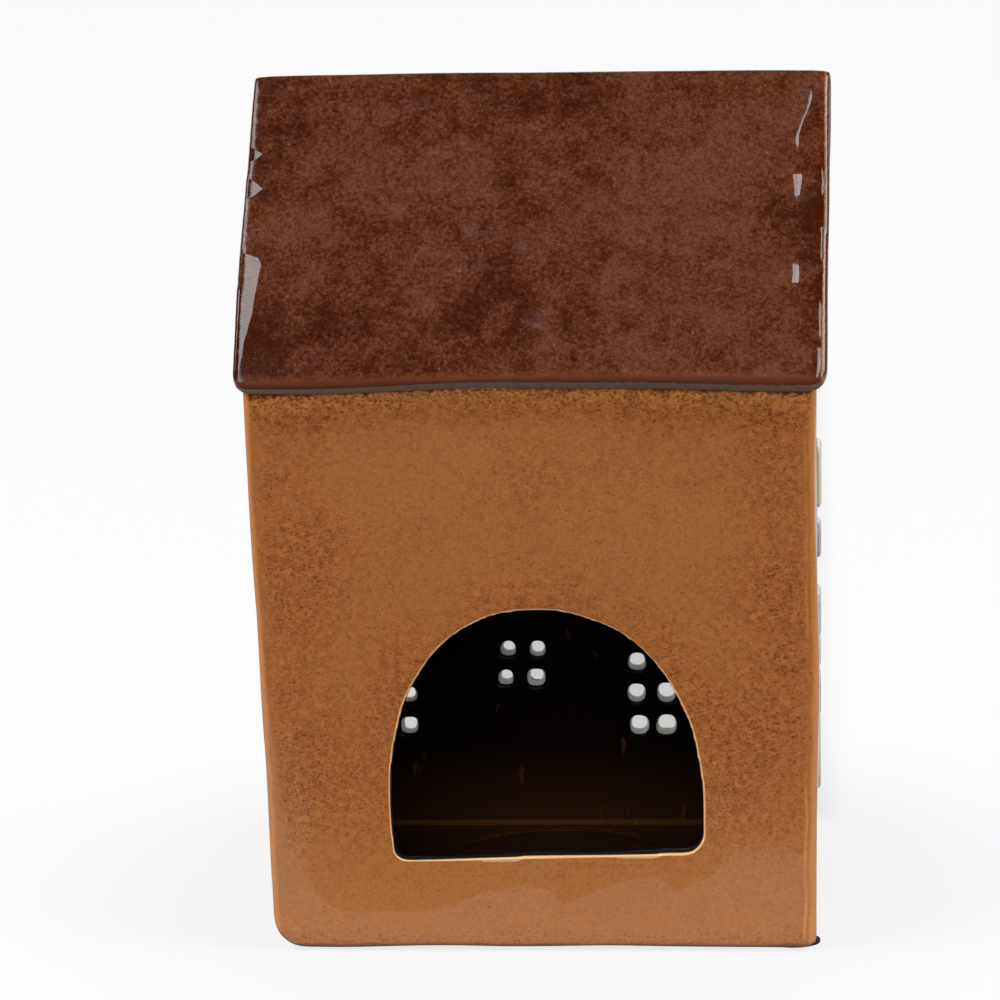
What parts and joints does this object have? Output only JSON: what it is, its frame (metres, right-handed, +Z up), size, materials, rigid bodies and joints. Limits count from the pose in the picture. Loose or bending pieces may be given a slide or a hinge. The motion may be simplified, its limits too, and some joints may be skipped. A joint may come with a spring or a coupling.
{
  "type": "tealight house",
  "caption": "Hollow glazed ceramic house with a steep roof, an arched opening at the back for a tealight and panes pierced through its street front.",
  "frame": {"origin": "centre of the overall box, on the surface that the house stands on", "axes": "+Z up; -Y towards the wall with the arched opening; +Y towards the street front with the door; +X to the right when facing the arch"},
  "size_m": [0.1363, 0.099, 0.2008],
  "materials": {
    "mustard_glaze": "gloss",
    "chocolate_glaze": "gloss",
    "dark_floor_glaze": "gloss",
    "cream_glaze": "gloss",
    "stone_glaze": "gloss",
    "black_pad": "matte"
  },
  "bodies": {
    "root": {"back_wall": "mustard_glaze", "front_wall": "mustard_glaze", "left_gable_wall": "mustard_glaze", "right_gable_wall": "mustard_glaze", "floor_slab": "dark_floor_glaze", "back_roof_slope": "chocolate_glaze", "front_roof_slope": "chocolate_glaze", "front_door": "chocolate_glaze", "door_surround": "cream_glaze", "door_knob": "cream_glaze", "doorstep": "stone_glaze", "ground_left_window_frame": "cream_glaze", "ground_left_window_sill": "cream_glaze", "ground_right_window_frame": "cream_glaze", "ground_right_window_sill": "cream_glaze", "upper_left_window_frame": "cream_glaze", "upper_left_window_sill": "cream_glaze", "upper_right_window_frame": "cream_glaze", "upper_right_window_sill": "cream_glaze", "left_corner_stones": "stone_glaze", "right_corner_stones": "stone_glaze", "back_left_pad": "black_pad", "back_right_pad": "black_pad", "front_left_pad": "black_pad", "front_right_pad": "black_pad"}
  },
  "joints": []
}
